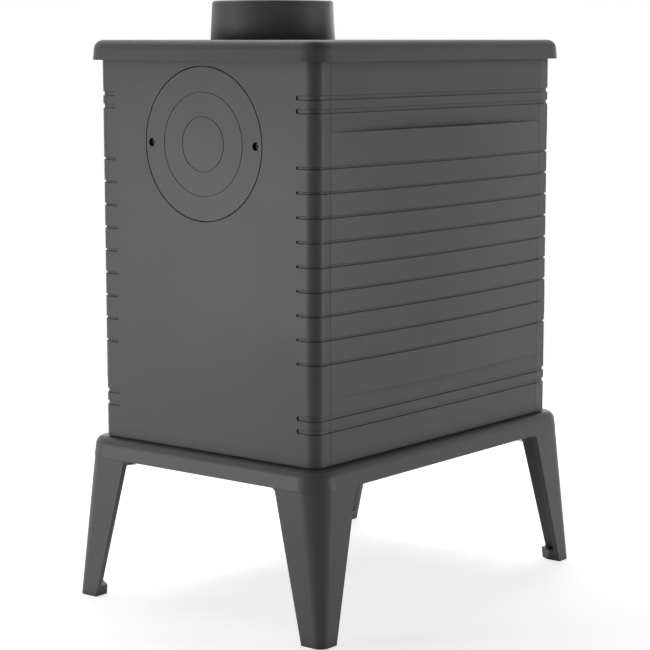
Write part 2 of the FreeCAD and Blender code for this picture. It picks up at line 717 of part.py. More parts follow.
def back_brick():
    rear_y = BRICK_REAR_Y + BRICK_THICK
    outline = [(BRICK_REAR_Y, BED_TOP), (rear_y, BED_TOP),
               (rear_y, slope_z(rear_y)), (BRICK_REAR_Y, slope_z(BRICK_REAR_Y))]
    return side_profile(outline, (-BRICK_X, BRICK_X))


def baffle_plate():
    """Sloping plate that sends the smoke forward before it can reach the flue."""
    rear_y = BRICK_REAR_Y + BRICK_THICK
    front_y = BAFFLE_FRONT_Y - 25
    outline = [(rear_y, slope_z(rear_y)), (front_y, slope_z(front_y)),
               (front_y, slope_z(front_y) + BAFFLE_THICK), (rear_y, slope_z(rear_y) + BAFFLE_THICK)]
    return side_profile(outline, (-BRICK_X - 10, BRICK_X + 10))


def fire_bed():
    """Floor of the fire chamber, on the ledges of the side panels, with a seat for the grate."""
    z = (BED_TOP - BED_THICK, BED_TOP)
    bed = joined([block((-160, 160), (-200, 200), z), block((-138, 138), (-232, 230), z)])
    low_x, high_x = GRATE_X
    low_y, high_y = GRATE_Y
    through = block((low_x + 6, high_x - 6), (low_y + 6, high_y - 6), (z[0] - 1, z[1] + 1))
    seat = block((low_x - 0.5, high_x + 0.5), (low_y - 0.5, high_y + 0.5), (z[0] + 4, z[1] + 1))
    return without(bed, [through, seat])


def grate():
    """Flat cast grate with two rows of long slots."""
    plate = block(GRATE_X, GRATE_Y, (BED_TOP - 4, BED_TOP + 4))
    slots = []
    for middle_y in (-57, 77):
        for k in range(-3, 4):
            slots.append(block((19 * k - 4, 19 * k + 4), (middle_y - 50, middle_y + 50),
                               (BED_TOP - 5, BED_TOP + 5)))
    return without(plate, slots)


def log_guard():
    """Low fence that keeps the logs off the glass."""
    fence = block((-120, 120), (-222, -216), (BED_TOP, BED_TOP + 36))
    gaps = [block((30 * k - 9, 30 * k + 9), (-223, -215), (BED_TOP + 10, BED_TOP + 27))
            for k in range(-3, 4)]
    foot = block((-116, 116), (-216, -206), (BED_TOP, BED_TOP + 5))
    return joined([without(fence, gaps), foot])


def air_deflector():
    """Angle that sends the air of the upper slots down over the glass."""
    shelf = block((-130, 130), (FRONT_INNER, FRONT_INNER + 22), (SLIDER_Z + 8, SLIDER_Z + 11))
    apron = block((-130, 130), (FRONT_INNER + 19, FRONT_INNER + 22), (SLIDER_Z - 14, SLIDER_Z + 9))
    return joined([shelf, apron])


# ---------------------------------------------------------------- door

def door_casting():
    """Door with a bevelled window, rope channel, glass bosses, knuckles and two grooves."""
    plate = panel((-DOOR_X, DOOR_X), DOOR_Z, (DOOR_FACE, DOOR_PLATE_BACK), 10)
    rim = panel((-DOOR_X, DOOR_X), DOOR_Z, (DOOR_PLATE_BACK - 1, DOOR_BACK), 10)
    rim_void = panel((4 - DOOR_X, DOOR_X - 4), (DOOR_Z[0] + 4, DOOR_Z[1] - 4),
                     (DOOR_PLATE_BACK, DOOR_BACK + 1), 6)
    bead_x = DOOR_OPENING_X - 1
    bead_z = (DOOR_OPENING_Z[0] + 1, DOOR_OPENING_Z[1] - 1)
    bead = block((-bead_x, bead_x), (DOOR_PLATE_BACK - 1, DOOR_BACK - 1), bead_z)
    bead_void = block((4 - bead_x, bead_x - 4), (DOOR_PLATE_BACK, DOOR_BACK),
                      (bead_z[0] + 4, bead_z[1] - 4))
    bosses = [rod(6, V(x, DOOR_PLATE_BACK - 1, z), V(x, DOOR_PLATE_BACK + 5, z))
              for x, z in retainer_places()]
    shaft_boss = rod(13, V(LATCH_X, DOOR_FACE - 4, LATCH_Z), V(LATCH_X, DOOR_PLATE_BACK, LATCH_Z))
    knuckles = []
    for z in HINGE_HEIGHTS:
        knuckles.append(rod(KNUCKLE_R, V(HINGE_X, HINGE_Y, z + 0.4), V(HINGE_X, HINGE_Y, z + 24)))
        knuckles.append(block((HINGE_X, 3 - DOOR_X), (DOOR_FACE + 1.5, DOOR_FACE + 6),
                              (z + 0.4, z + 24)))
    solid = joined([plate, rim.cut(rim_void), bead.cut(bead_void), shaft_boss] + bosses + knuckles)
    cutters = [window_cutter()]
    cutters += [rod(PIN_R + PIN_CLEARANCE, V(HINGE_X, HINGE_Y, z), V(HINGE_X, HINGE_Y, z + 21))
                for z in HINGE_HEIGHTS]
    cutters.append(rod(SHAFT_R + PIN_CLEARANCE, V(LATCH_X, DOOR_FACE - 6, LATCH_Z),
                       V(LATCH_X, DOOR_BACK + 1, LATCH_Z)))
    cutters += [rod(2.5, V(x, DOOR_PLATE_BACK - 3, z), V(x, DOOR_PLATE_BACK + 6, z))
                for x, z in retainer_places()]
    for z in BAND_HEIGHTS[2:]:
        cutters.append(front_band(z, DOOR_X, DOOR_FACE))
    return without(solid, cutters)


def front_band(z, half_x, face_y):
    """Cutter of a flat-bottomed groove straight across a part of the front."""
    depth, root, surface = BAND_GROOVE
    mouth = surface + (surface - root) / depth
    section = polygon([V(-half_x - 1, face_y + depth, z - root), V(-half_x - 1, face_y - 1, z - mouth),
                       V(-half_x - 1, face_y - 1, z + mouth), V(-half_x - 1, face_y + depth, z + root)])
    return section.extrude(V(2 * half_x + 2, 0, 0))


def window_cutter():
    """Window opening whose outer edge is bevelled."""
    hole = panel((-WINDOW_X, WINDOW_X), WINDOW_Z, (DOOR_FACE - 1, DOOR_PLATE_BACK + 1), 12)
    wide = Part.Wire(rounded_edges((-WINDOW_X - 5, WINDOW_X + 5),
                                   (WINDOW_Z[0] - 5, WINDOW_Z[1] + 5), 17))
    narrow = Part.Wire(rounded_edges((-WINDOW_X, WINDOW_X), WINDOW_Z, 12))
    narrow.translate(V(0, 0, -5))
    bevel = Part.makeLoft([wide, narrow], True, True)
    bevel.rotate(ORIGIN, AXIS_X, 90)
    bevel.translate(V(0, DOOR_FACE, 0))
    return joined([hole, bevel])


def retainer_places():
    """Screws of the four glass retainers, as (x, z)."""
    return [(x, z) for x in (-114.5, 114.5) for z in (WINDOW_Z[0] + 30, WINDOW_Z[1] - 30)]


def glass_range():
    return ((-WINDOW_X - GLASS_LAP, WINDOW_X + GLASS_LAP),
            (WINDOW_Z[0] - GLASS_LAP, WINDOW_Z[1] + GLASS_LAP))


def glass_gasket():
    """Thin tape between the glass and the door."""
    x, z = glass_range()
    y = (DOOR_PLATE_BACK, DOOR_PLATE_BACK + 1)
    inner = panel((x[0] + 7, x[1] - 7), (z[0] + 7, z[1] - 7), (y[0] - 1, y[1] + 1), 8)
    return panel(x, z, y, 6).cut(inner)


def door_glass():
    x, z = glass_range()
    return panel(x, z, (DOOR_PLATE_BACK + 1, DOOR_PLATE_BACK + 1 + GLASS_THICK), 6)


def glass_retainers():
    """Four flat steel clips that reach from their bosses over the edge of the glass."""
    seat = DOOR_PLATE_BACK + 5
    clips = []
    for x, z in retainer_places():
        reach = math.copysign(WINDOW_X + 2, x)
        span = (min(x - 5, reach), max(x + 5, reach))
        clip = block(span, (seat, seat + 1.5), (z - 8, z + 8))
        clips.append(clip.cut(rod(2.5, V(x, seat - 1, z), V(x, seat + 2, z))))
    return Part.makeCompound(clips)


def retainer_screws():
    seat = DOOR_PLATE_BACK + 6.5
    return Part.makeCompound([
        joined([rod(2.5, V(x, seat - 8, z), V(x, seat, z)), hexagon(8, V(x, seat, z), V(x, seat + 2.5, z))])
        for x, z in retainer_places()])


def door_seal():
    """Rope seal that lies in the channel round the back of the door."""
    y = (DOOR_PLATE_BACK, FRONT - 0.3)
    outer = panel((4.5 - DOOR_X, DOOR_X - 4.5), (DOOR_Z[0] + 4.5, DOOR_Z[1] - 4.5), y, 6)
    x_in = DOOR_OPENING_X + 0.5
    z_in = (DOOR_OPENING_Z[0] - 0.5, DOOR_OPENING_Z[1] + 0.5)
    return outer.cut(panel((-x_in, x_in), z_in, (y[0] - 1, y[1] + 1), 4))


def door_handle():
    """Shaft through the door with a lever that hangs down outside it."""
    lever_back = -FRONT_REACH + 11
    shaft = rod(SHAFT_R, V(LATCH_X, lever_back - 1, LATCH_Z), V(LATCH_X, FRONT_INNER + 10, LATCH_Z))
    hub = rod(11, V(LATCH_X, -FRONT_REACH, LATCH_Z), V(LATCH_X, lever_back, LATCH_Z))
    arm = Part.makeCone(7, 5, 34, V(LATCH_X, (lever_back - FRONT_REACH) / 2, LATCH_Z), V(0, 0, -1))
    arm = arm.common(block((0, 200), (-FRONT_REACH + 1, lever_back - 1), (LATCH_Z - 40, LATCH_Z)))
    return joined([shaft, hub, arm])


def handle_grip():
    """Turned grip on the end of the lever."""
    y = -FRONT_REACH + 5.5
    top = LATCH_Z - 34
    half = [(0, top), (5.0, top), (5.5, top - 6), (5.5, top - 34), (4.2, top - 42), (0, top - 44)]
    return polygon([V(r, 0, z) for r, z in half]).revolve(ORIGIN, AXIS_Z, 360).translated(
        V(LATCH_X, y, 0))


def latch_cam():
    """Cam on the inner end of the shaft. It points up when the door is free."""
    y = (FRONT_INNER + 3.3, FRONT_INNER + 9.3)
    bar = panel((LATCH_X - 8, LATCH_X + 8), (LATCH_Z - 10, LATCH_Z + 30), y, 7)
    return bar.cut(rod(SHAFT_R, V(LATCH_X, y[0] - 1, LATCH_Z), V(LATCH_X, y[1] + 1, LATCH_Z)))


def cam_nut():
    y = FRONT_INNER + 9.3
    nut = hexagon(16, V(LATCH_X, y, LATCH_Z), V(LATCH_X, y + 5, LATCH_Z))
    return nut.cut(rod(SHAFT_R, V(LATCH_X, y - 1, LATCH_Z), V(LATCH_X, y + 1.5, LATCH_Z)))


def latch_strike():
    """Wear plate behind the frame that the cam slides on as it locks."""
    return panel((DOOR_OPENING_X + 2, DOOR_OPENING_X + 22), (LATCH_Z - 14, LATCH_Z + 14),
                 (FRONT_INNER, FRONT_INNER + 3), 3)


# ---------------------------------------------------------------- ash drawer and air

def drawer_front():
    """Cast front of the ash drawer with a finger lip, two grooves and the air ports."""
    face_y = DOOR_BACK - 12
    plate = panel((-DRAWER_X, DRAWER_X), DRAWER_Z, (face_y, DOOR_BACK), 6)
    lip = side_profile([(face_y + 1, DRAWER_Z[1] - 14), (face_y - 15, DRAWER_Z[1] - 8),
                        (face_y - 15, DRAWER_Z[1] - 3), (face_y + 1, DRAWER_Z[1] - 3)], (-42, 42))
    raised = rod(WHEEL_R + 3, V(0, face_y - 2, WHEEL_Z), V(0, face_y + 1, WHEEL_Z))
    solid = without(plate, [front_band(z, DRAWER_X, face_y) for z in BAND_HEIGHTS[:2]])
    solid = joined([solid, lip, raised])
    stud_hole = rod(4, V(0, face_y - 3, WHEEL_Z), V(0, DOOR_BACK + 1, WHEEL_Z))
    return without(solid, [stud_hole] + wheel_ports(60, (face_y - 3, DOOR_BACK + 1)))


def wheel_ports(first_angle, y):
    """Three round air ports about the axis of the air wheel."""
    ports = []
    for k in range(3):
        angle = math.radians(first_angle + 120 * k)
        x = PORT_CIRCLE_R * math.cos(angle)
        z = WHEEL_Z + PORT_CIRCLE_R * math.sin(angle)
        ports.append(rod(PORT_R, V(x, y[0], z), V(x, y[1], z)))
    return ports


def air_wheel():
    """Primary-air wheel: a knurled disc whose ports pass over those of the drawer front."""
    y = (DOOR_BACK - 20.3, DOOR_BACK - 14.3)
    disc = rod(WHEEL_R, V(0, y[0], WHEEL_Z), V(0, y[1], WHEEL_Z))
    scallops = []
    for k in range(WHEEL_NOTCHES):
        angle = 2 * math.pi * k / WHEEL_NOTCHES
        x = (WHEEL_R + 2) * math.cos(angle)
        z = WHEEL_Z + (WHEEL_R + 2) * math.sin(angle)
        scallops.append(rod(3.5, V(x, y[0] - 1, z), V(x, y[1] + 1, z)))
    bore = rod(4 + PIN_CLEARANCE, V(0, y[0] - 1, WHEEL_Z), V(0, y[1] + 1, WHEEL_Z))
    return without(disc, scallops + [bore] + wheel_ports(0, (y[0] - 1, y[1] + 1)))


def wheel_stud():
    """Headed stud that the air wheel turns on."""
    head_back = DOOR_BACK - 20.6
    head = Part.makeCone(5, 8, 4, V(0, head_back - 4, WHEEL_Z), AXIS_Y)
    shank = rod(4, V(0, head_back, WHEEL_Z), V(0, DOOR_BACK, WHEEL_Z))
    return joined([head, shank])


def ash_pan():
    """Folded steel tray, open at the top, behind the drawer front."""
    y = (DOOR_BACK, DOOR_BACK + PAN_LENGTH)
    z = (RAIL_TOP + 0.4, ASH_OPENING_Z[1] - 6)
    outer = block((-PAN_X, PAN_X), y, z)
    inner = block((PAN_SHEET - PAN_X, PAN_X - PAN_SHEET), (y[0] + PAN_SHEET, y[1] - PAN_SHEET),
                  (z[0] + PAN_SHEET, z[1] + 1))
    ports = rod(WHEEL_R - 2, V(0, y[0] - 1, WHEEL_Z), V(0, y[0] + PAN_SHEET + 1, WHEEL_Z))
    holes = [rod(2.5, V(x, y[0] - 1, WHEEL_Z), V(x, y[0] + PAN_SHEET + 1, WHEEL_Z))
             for x in (-80, 80)]
    return without(outer, [inner, ports] + holes)


def pan_screws():
    """Two screws that hold the pan to the drawer front, heads inside the pan."""
    screws = []
    for x in (-80, 80):
        y = DOOR_BACK + PAN_SHEET
        screws.append(joined([rod(2.5, V(x, DOOR_BACK, WHEEL_Z), V(x, y, WHEEL_Z)),
                              rod(4.5, V(x, y, WHEEL_Z), V(x, y + 2.5, WHEEL_Z))]))
    return Part.makeCompound(screws)


def pan_rails():
    """Two angle strips on the deck: the pan slides on them and between their upstands."""
    x_in = PAN_X - 14
    rail = joined([block((x_in, PAN_X + 3), (FRONT_INNER + 1, 130), (DECK_TOP, RAIL_TOP)),
                   block((PAN_X + 1, PAN_X + 3), (FRONT_INNER + 1, 130), (DECK_TOP, RAIL_TOP + 12))])
    return Part.makeCompound(both_sides([rail]))


def slider_slots():
    """Middles of the upper air slots along X."""
    return [SLOT_PITCH * k for k in range(-2, 3)]


def airwash_slider():
    """Flat bar over the upper air slots. Its own slots stand half a pitch away when shut."""
    y = (FRONT - 5.3, FRONT - 0.3)
    bar = panel((-112, 112), (SLIDER_Z - 6, SLIDER_Z + 6), y, 3)
    slots = [block((x - 9, x + 9), (y[0] - 1, y[1] + 1), (SLIDER_Z - 2.5, SLIDER_Z + 2.5))
             for x in [place - SLOT_PITCH / 2 for place in slider_slots()]]
    return without(bar, slots)


def airwash_knob():
    """Turned knob on the middle of the slider."""
    face_y = FRONT - 5.3
    half = [(0, 0), (2.5, 0), (2.5, 4), (4.8, 7), (5.0, 12), (4.2, 15), (0, 15.5)]
    knob = polygon([V(r, 0, h) for r, h in half]).revolve(ORIGIN, AXIS_Z, 360)
    knob.rotate(ORIGIN, AXIS_X, 90)
    return knob.translated(V(0, face_y, SLIDER_Z))


def slider_guides():
    """Hooked clips that hold the ends of the slider against the frame."""
    clips = []
    for x in (-89, 89):
        foot = block((x - 5, x + 5), (FRONT - 7.6, FRONT), (SLIDER_Z + 6.4, SLIDER_Z + 9))
        hook = block((x - 5, x + 5), (FRONT - 7.6, FRONT - 5.6), (SLIDER_Z + 1, SLIDER_Z + 7))
        clips.append(joined([foot, hook]))
    return Part.makeCompound(clips)


# ---------------------------------------------------------------- the whole stove

def build():
    """Every node of the stove by name."""
    rear_right = leg()
    panel_right = side_panel()
    brick_right = side_brick()
    return {
        "base_frame": base_frame(),
        "leg_rear_right": rear_right,
        "leg_rear_left": mirror_x(rear_right),
        "leg_front_right": mirror_y(rear_right),
        "leg_front_left": mirror_y(mirror_x(rear_right)),
        "back_plate": back_plate(),
        "side_panel_right": panel_right,
        "side_panel_left": mirror_x(panel_right),
        "front_frame": front_frame(),
        "top_plate": top_plate(),
        "flue_collar": flue_collar(),
        "flue_bolts": flue_bolts(),
        "flue_cover": flue_cover(),
        "cover_screws": cover_screws(),
        "tie_rods": tie_rods(),
        "tie_rod_washers": tie_rod_washers(),
        "tie_rod_nuts": tie_rod_nuts(),
        "side_brick_right": brick_right,
        "side_brick_left": mirror_x(brick_right),
        "back_brick": back_brick(),
        "baffle_plate": baffle_plate(),
        "fire_bed": fire_bed(),
        "grate": grate(),
        "log_guard": log_guard(),
        "air_deflector": air_deflector(),
        "pan_rails": pan_rails(),
        "hinge_pins": hinge_pins(),
        "latch_strike": latch_strike(),
        "slider_guides": slider_guides(),
        "door_casting": door_casting(),
        "door_glass": door_glass(),
        "glass_gasket": glass_gasket(),
        "glass_retainers": glass_retainers(),
        "retainer_screws": retainer_screws(),
        "door_seal": door_seal(),
        "door_handle": door_handle(),
        "handle_grip": handle_grip(),
        "latch_cam": latch_cam(),
        "cam_nut": cam_nut(),
        "drawer_front": drawer_front(),
        "ash_pan": ash_pan(),
        "pan_screws": pan_screws(),
        "wheel_stud": wheel_stud(),
        "air_wheel": air_wheel(),
        "airwash_slider": airwash_slider(),
        "airwash_knob": airwash_knob(),
    }


def main():
    os.makedirs("parts", exist_ok=True)
    for name, shape in build().items():
        shape.translated(FRAME_SHIFT).exportStep(os.path.join("parts", name + ".step"))


main()
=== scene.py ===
"""Looks of the cast-iron box stove: materials, four finely made pieces, studio and camera.

The four pieces are the braided rope and the woven gasket of the door, its glass pane, and the coil
grip of its handle. Sizes are in metres, in the row frame: +Z is up, the door faces -Y and the floor
is Z = 0.
"""
import json
import math

import bmesh
import bpy
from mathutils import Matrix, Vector


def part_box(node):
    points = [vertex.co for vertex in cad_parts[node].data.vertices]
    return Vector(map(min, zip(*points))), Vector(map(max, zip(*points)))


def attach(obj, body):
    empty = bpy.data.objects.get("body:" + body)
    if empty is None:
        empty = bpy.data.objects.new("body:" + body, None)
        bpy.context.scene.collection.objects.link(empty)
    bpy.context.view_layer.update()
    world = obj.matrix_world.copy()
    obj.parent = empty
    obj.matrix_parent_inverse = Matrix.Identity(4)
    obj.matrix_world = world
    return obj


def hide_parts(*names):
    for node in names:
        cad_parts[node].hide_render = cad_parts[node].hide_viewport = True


# Camera, as fitted to the body's corners: where it stands, and how it looks
CAMERA_PLACE = (-1.5754, 2.01205, 0.68794)
CAMERA_AZIMUTH = 218.480
CAMERA_ELEVATION = 8.094
CAMERA_LENS_MM = 111.88
SENSOR_MM = 36.0

# Studio: the floor, how it glows where it is seen, and the world's fill light
FLOOR_RADIUS = 1.6
FLOOR_SIDES = 96
FLOOR_GREY = 0.80
FLOOR_GLOW = 0.74
WORLD_GREY = 0.015

# Lamps, named as the camera sees them: heading from +Y towards +X in degrees, height, distance
# from the stove's upright axis, width, length and watts
LAMP_TARGET = (0, 0, 0.42)
LAMPS = {
    "left_lamp": (31.8, 0.3, 2.6, 0.6, 0.6, 27),
    "right_lamp": (-114.5, 0.3, 2.6, 0.5, 0.6, 23),
    "far_lamp": (156.5, 0.55, 2.6, 3.0, 0.9, 18),
    "high_left_lamp": (81.5, 2.6, 1.6, 1.8, 1.3, 14),
    "high_far_lamp": (141.5, 2.6, 1.6, 1.8, 1.3, 34),
}

# Heat-proof paint of the castings, and the shade painted into its colour in corners and grooves
PAINT_GREY = 0.12
COVER_GREY = 0.122
PAINT_ROUGHNESS = 0.42
PAINT_SPECULAR = 0.15
PAINTED_SHADE_REACH = 0.02
PAINTED_SHADE_DARKEST = 0.5
PAINTED_SHADE_OPENNESS = (0.45, 0.92)

# Rope seal of the door: the band it lies in, its strands with half their thickness and width,
# how they wind and weave, and its core
SEAL_BAND = 0.009
SEAL_CORNER = 0.006
SEAL_STRANDS = 4
SEAL_PITCH = 0.030
STEPS_PER_TURN = 28
STRAND_THICK = 0.0008
STRAND_WIDE = 0.0017
STRAND_SIDES = 6
WEAVE_LIFT = 0.0005
ROPE_CORE_INSET = 0.0022
ROPE_CORE_SIDES = 8
ROPE_CORE_EVERY = 4

# Gasket tape of the glass: its band, its threads, and its section as parts of half its size
TAPE_BAND = 0.007
TAPE_CORNER = 0.006
TAPE_THREAD = 0.0008
TAPE_RIB = (0.98, 0.98)
TAPE_DIP = (0.95, 0.80)
TAPE_SECTION = (
    (1, 0.5), (0.9, 1), (-0.9, 1), (-1, 0.5),
    (-1, -0.5), (-0.9, -1), (0.9, -1), (1, -0.5),
)

# Glass pane of the door: its corners, its ground edge, and its room for the handle's shaft
PANE_CORNER = 0.006
PANE_STEP = 0.001
PANE_EDGE = 0.0005
PANE_ROOM = 0.0008

# Coil grip of the handle: half its wire's thickness, its turns, and the turned ends
COIL_WIRE = 0.0011
COIL_TURNS = 15
COIL_STEPS = 20
COIL_SIDES = 8
COIL_ROOM = 0.0001
COLLAR_LENGTH = 0.004
TAIL_LENGTH = 0.006
GRIP_CORE_INSET = COIL_WIRE * 1.9
GRIP_CORE_OVERLAP = 0.001
TURNED_SIDES = 32

# Profiles of the grip's ends: how far in from its outside, and how far from its top or its bottom
COLLAR_PROFILE = (
    (0.0008, 0),
    (0.0002, 0.0006),
    (0.0002, COLLAR_LENGTH + 0.0002),
    (0.0016, COLLAR_LENGTH + 0.0006),
)
TAIL_PROFILE = (
    (0.0016, TAIL_LENGTH + 0.0006),
    (0.0002, TAIL_LENGTH),
    (0.0002, 0.0022),
    (0.0012, 0.0006),
    (0.003, 0),
)

# Direction in which the door is deep
DEPTH_WAY = Vector((0, 1, 0))

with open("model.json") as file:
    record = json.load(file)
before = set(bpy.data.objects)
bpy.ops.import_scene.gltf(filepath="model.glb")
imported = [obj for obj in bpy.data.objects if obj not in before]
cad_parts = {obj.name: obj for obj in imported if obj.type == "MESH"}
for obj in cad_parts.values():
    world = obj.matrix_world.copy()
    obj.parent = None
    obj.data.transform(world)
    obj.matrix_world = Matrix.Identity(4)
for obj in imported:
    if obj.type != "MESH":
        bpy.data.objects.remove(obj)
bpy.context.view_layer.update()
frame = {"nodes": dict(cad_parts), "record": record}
nodes = frame["nodes"]


# ---------------------------------------------------------------- node building

def new_material(name):
    """Empty material with an output and a Principled shader."""
    material = bpy.data.materials.new(name)
    material.use_nodes = True
    tree = material.node_tree
    tree.nodes.clear()
    output = tree.nodes.new("ShaderNodeOutputMaterial")
    shader = tree.nodes.new("ShaderNodeBsdfPrincipled")
    tree.links.new(shader.outputs["BSDF"], output.inputs["Surface"])
    return material, tree, shader


def object_coordinates(tree, scale=(1, 1, 1)):
    """Object coordinates, in metres, stretched by scale."""
    place = tree.nodes.new("ShaderNodeTexCoord")
    mapping = tree.nodes.new("ShaderNodeMapping")
    mapping.inputs["Scale"].default_value = scale
    tree.links.new(place.outputs["Object"], mapping.inputs["Vector"])
    return mapping.outputs["Vector"]


def noise(tree, coordinates, scale, detail=2.0, roughness=0.5):
    """Noise of about scale cells per metre."""
    node = tree.nodes.new("ShaderNodeTexNoise")
    node.inputs["Scale"].default_value = scale
    node.inputs["Detail"].default_value = detail
    node.inputs["Roughness"].default_value = roughness
    tree.links.new(coordinates, node.inputs["Vector"])
    return node.outputs["Fac"]


def spread(tree, value, low, high, start=0.3, end=0.7):
    """A value between start and end spread over the range from low to high."""
    node = tree.nodes.new("ShaderNodeMapRange")
    node.inputs["From Min"].default_value = start
    node.inputs["From Max"].default_value = end
    node.inputs["To Min"].default_value = low
    node.inputs["To Max"].default_value = high
    tree.links.new(value, node.inputs["Value"])
    return node.outputs["Result"]


def two_colours(tree, value, low, high, start=0.3, end=0.7):
    """Colour that goes from low to high as the value goes from start to end."""
    node = tree.nodes.new("ShaderNodeValToRGB")
    node.color_ramp.elements[0].position = start
    node.color_ramp.elements[0].color = (*low, 1)
    node.color_ramp.elements[1].position = end
    node.color_ramp.elements[1].color = (*high, 1)
    tree.links.new(value, node.inputs["Fac"])
    return node.outputs["Color"]


def bump(tree, height, distance, under=None, strength=1.0):
    """Bump of a height pattern, over the normal given as under."""
    node = tree.nodes.new("ShaderNodeBump")
    node.inputs["Distance"].default_value = distance
    node.inputs["Strength"].default_value = strength
    tree.links.new(height, node.inputs["Height"])
    if under is not None:
        tree.links.new(under, node.inputs["Normal"])
    return node.outputs["Normal"]


def soft_edges(tree, radius):
    """Normals that round every edge off by the radius."""
    node = tree.nodes.new("ShaderNodeBevel")
    node.samples = 6
    node.inputs["Radius"].default_value = radius
    return node.outputs["Normal"]


def multiplied(tree, colour, shade, factor):
    """Colour times a shade, mixed in by the factor."""
    mix = tree.nodes.new("ShaderNodeMixRGB")
    mix.blend_type = "MULTIPLY"
    mix.inputs["Fac"].default_value = factor
    tree.links.new(colour, mix.inputs["Color1"])
    tree.links.new(shade, mix.inputs["Color2"])
    return mix.outputs["Color"]


def painted_crevice_shade(tree, colour):
    """Colour with shade painted in: darker where ambient occlusion finds a surface deep in a corner
    or a groove.
    """
    node = tree.nodes.new("ShaderNodeAmbientOcclusion")
    node.samples = 12
    node.inputs["Distance"].default_value = PAINTED_SHADE_REACH
    start, end = PAINTED_SHADE_OPENNESS
    shade = two_colours(tree, node.outputs["AO"], (PAINTED_SHADE_DARKEST,) * 3, (1, 1, 1), start, end)
    return multiplied(tree, colour, shade, factor=1.0)


def greys(level, part):
    """Pair of neutral colours, darker and lighter than the level by a part of it."""
    return [(level * k,) * 3 for k in (1 - part, 1 + part)]


# ---------------------------------------------------------------- materials

def painted_iron(name, level, grain=0.00006, edge=0.0007):
    """Matt heat-proof paint over sand-cast iron: fine grain, faint clouds, rounded edges, and shade
    painted into corners and grooves.
    """
    material, tree, shader = new_material(name)
    place = object_coordinates(tree)
    clouds = noise(tree, place, scale=9, detail=3)
    grains = noise(tree, place, scale=1400, detail=3, roughness=0.6)
    skin = noise(tree, place, scale=160)
    low, high = greys(level, 0.035)
    paint = two_colours(tree, clouds, low, high)
    # Base colour carries painted shade: darker in corners and grooves, where shade falls
    tree.links.new(painted_crevice_shade(tree, paint), shader.inputs["Base Color"])
    tree.links.new(spread(tree, clouds, PAINT_ROUGHNESS - 0.03, PAINT_ROUGHNESS + 0.03),
                   shader.inputs["Roughness"])
    shader.inputs["Specular IOR Level"].default_value = PAINT_SPECULAR
    waves = bump(tree, skin, distance=0.00012, under=soft_edges(tree, edge))
    tree.links.new(bump(tree, grains, distance=grain, under=waves), shader.inputs["Normal"])
    return material


def bare_iron():
    """Unpainted cast iron of the hearth, dulled by heat."""
    material, tree, shader = new_material("bare_iron")
    place = object_coordinates(tree)
    clouds = noise(tree, place, scale=22, detail=4)
    grains = noise(tree, place, scale=700, detail=3, roughness=0.6)
    tree.links.new(two_colours(tree, clouds, (0.045, 0.042, 0.040), (0.085, 0.076, 0.068)),
                   shader.inputs["Base Color"])
    tree.links.new(spread(tree, clouds, 0.6, 0.8), shader.inputs["Roughness"])
    shader.inputs["Metallic"].default_value = 0.25
    tree.links.new(bump(tree, grains, distance=0.0002, under=soft_edges(tree, 0.0008)),
                   shader.inputs["Normal"])
    return material


def vermiculite():
    """Pressed vermiculite board: pale tan with brown and golden flakes."""
    material, tree, shader = new_material("vermiculite")
    place = object_coordinates(tree)
    flakes = tree.nodes.new("ShaderNodeTexVoronoi")
    flakes.inputs["Scale"].default_value = 420
    tree.links.new(place, flakes.inputs["Vector"])
    clouds = noise(tree, place, scale=14, detail=4)
    tan = two_colours(tree, flakes.outputs["Color"], (0.30, 0.235, 0.16), (0.62, 0.545, 0.43),
                      start=0.1, end=0.75)
    smoke = two_colours(tree, clouds, (0.72, 0.70, 0.66), (1.0, 0.98, 0.95))
    tree.links.new(multiplied(tree, tan, smoke, factor=0.6), shader.inputs["Base Color"])
    shader.inputs["Roughness"].default_value = 0.92
    dents = bump(tree, flakes.outputs["Distance"], distance=0.0006,
                 under=soft_edges(tree, 0.001), strength=0.8)
    tree.links.new(dents, shader.inputs["Normal"])
    return material


def bright_steel(name, tint, roughness):
    """Steel with fine level brushing."""
    material, tree, shader = new_material(name)
    lines = noise(tree, object_coordinates(tree, (1, 1, 8)), scale=300, detail=3, roughness=0.7)
    clouds = noise(tree, object_coordinates(tree), scale=60)
    low, high = [tuple(c * k for c in tint) for k in (0.92, 1.0)]
    tree.links.new(two_colours(tree, clouds, low, high), shader.inputs["Base Color"])
    shader.inputs["Metallic"].default_value = 1.0
    tree.links.new(spread(tree, lines, roughness - 0.06, roughness + 0.08),
                   shader.inputs["Roughness"])
    tree.links.new(bump(tree, lines, distance=0.00003, under=soft_edges(tree, 0.0003)),
                   shader.inputs["Normal"])
    return material


def black_steel():
    """Blackened steel of small screws and clips."""
    material, tree, shader = new_material("black_steel")
    grains = noise(tree, object_coordinates(tree), scale=900)
    tree.links.new(two_colours(tree, grains, (0.018, 0.018, 0.019), (0.034, 0.034, 0.035)),
                   shader.inputs["Base Color"])
    shader.inputs["Metallic"].default_value = 0.6
    tree.links.new(spread(tree, grains, 0.36, 0.5), shader.inputs["Roughness"])
    tree.links.new(bump(tree, grains, distance=0.00002, under=soft_edges(tree, 0.0003)),
                   shader.inputs["Normal"])
    return material


def painted_sheet():
    """Satin black paint on folded sheet steel."""
    material, tree, shader = new_material("painted_sheet")
    place = object_coordinates(tree)
    peel = noise(tree, place, scale=500)
    clouds = noise(tree, place, scale=12, detail=3)
    low, high = greys(0.075, 0.08)
    tree.links.new(two_colours(tree, clouds, low, high), shader.inputs["Base Color"])
    tree.links.new(spread(tree, clouds, 0.42, 0.5), shader.inputs["Roughness"])
    tree.links.new(bump(tree, peel, distance=0.00004, under=soft_edges(tree, 0.0004)),
                   shader.inputs["Normal"])
    return material


